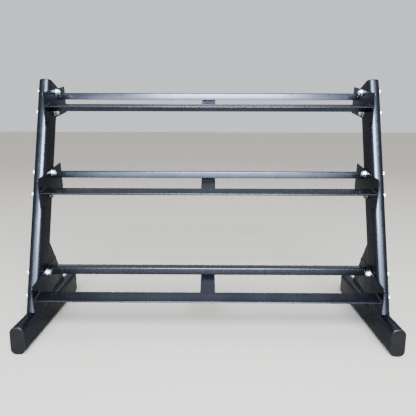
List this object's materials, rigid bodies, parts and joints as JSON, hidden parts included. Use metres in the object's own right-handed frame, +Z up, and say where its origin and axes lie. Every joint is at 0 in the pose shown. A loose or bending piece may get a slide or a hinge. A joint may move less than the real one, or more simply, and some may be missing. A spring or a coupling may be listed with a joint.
{
  "type": "dumbbell rack",
  "caption": "Freestanding dumbbell rack: sloping angle-rail shelves bolted between rearward-leaning oval-tube uprights that stand on long oval-tube feet.",
  "frame": {"origin": "on the floor, midway between the two feet and midway along their length", "axes": "+X along the shelves to the right as seen from the front, +Y to the rear, +Z up; the loading side faces -Y"},
  "size_m": [1.3962, 0.585, 0.9715],
  "materials": {
    "powder_coat": "satin charcoal metallic powder coat",
    "cap_plastic": "fine moulded black",
    "zinc": "bright zinc plate"
  },
  "bodies": {
    "root": {"foot_tube_left": "powder_coat", "foot_cap_front_left": "cap_plastic", "foot_cap_rear_left": "cap_plastic", "upright_left": "powder_coat", "upright_cap_left": "cap_plastic", "gusset_left": "powder_coat", "foot_tube_right": "powder_coat", "foot_cap_front_right": "cap_plastic", "foot_cap_rear_right": "cap_plastic", "upright_right": "powder_coat", "upright_cap_right": "cap_plastic", "gusset_right": "powder_coat", "end_plate_bottom_left": "powder_coat", "end_plate_bottom_right": "powder_coat", "front_rail_bottom": "powder_coat", "rear_rail_bottom": "powder_coat", "centre_strap_bottom": "powder_coat", "backing_plate_bottom_left": "powder_coat", "bolt_bottom_upper_left": "zinc", "nut_bottom_upper_left": "zinc", "bolt_bottom_lower_left": "zinc", "nut_bottom_lower_left": "zinc", "backing_plate_bottom_right": "powder_coat", "bolt_bottom_upper_right": "zinc", "nut_bottom_upper_right": "zinc", "bolt_bottom_lower_right": "zinc", "nut_bottom_lower_right": "zinc", "end_plate_middle_left": "powder_coat", "end_plate_middle_right": "powder_coat", "front_rail_middle": "powder_coat", "rear_rail_middle": "powder_coat", "centre_strap_middle": "powder_coat", "backing_plate_middle_left": "powder_coat", "bolt_middle_upper_left": "zinc", "nut_middle_upper_left": "zinc", "bolt_middle_lower_left": "zinc", "nut_middle_lower_left": "zinc", "backing_plate_middle_right": "powder_coat", "bolt_middle_upper_right": "zinc", "nut_middle_upper_right": "zinc", "bolt_middle_lower_right": "zinc", "nut_middle_lower_right": "zinc", "end_plate_top_left": "powder_coat", "end_plate_top_right": "powder_coat", "front_rail_top": "powder_coat", "rear_rail_top": "powder_coat", "centre_strap_top": "powder_coat", "backing_plate_top_left": "powder_coat", "bolt_top_upper_left": "zinc", "nut_top_upper_left": "zinc", "bolt_top_lower_left": "zinc", "nut_top_lower_left": "zinc", "backing_plate_top_right": "powder_coat", "bolt_top_upper_right": "zinc", "nut_top_upper_right": "zinc", "bolt_top_lower_right": "zinc", "nut_top_lower_right": "zinc"}
  },
  "joints": []
}
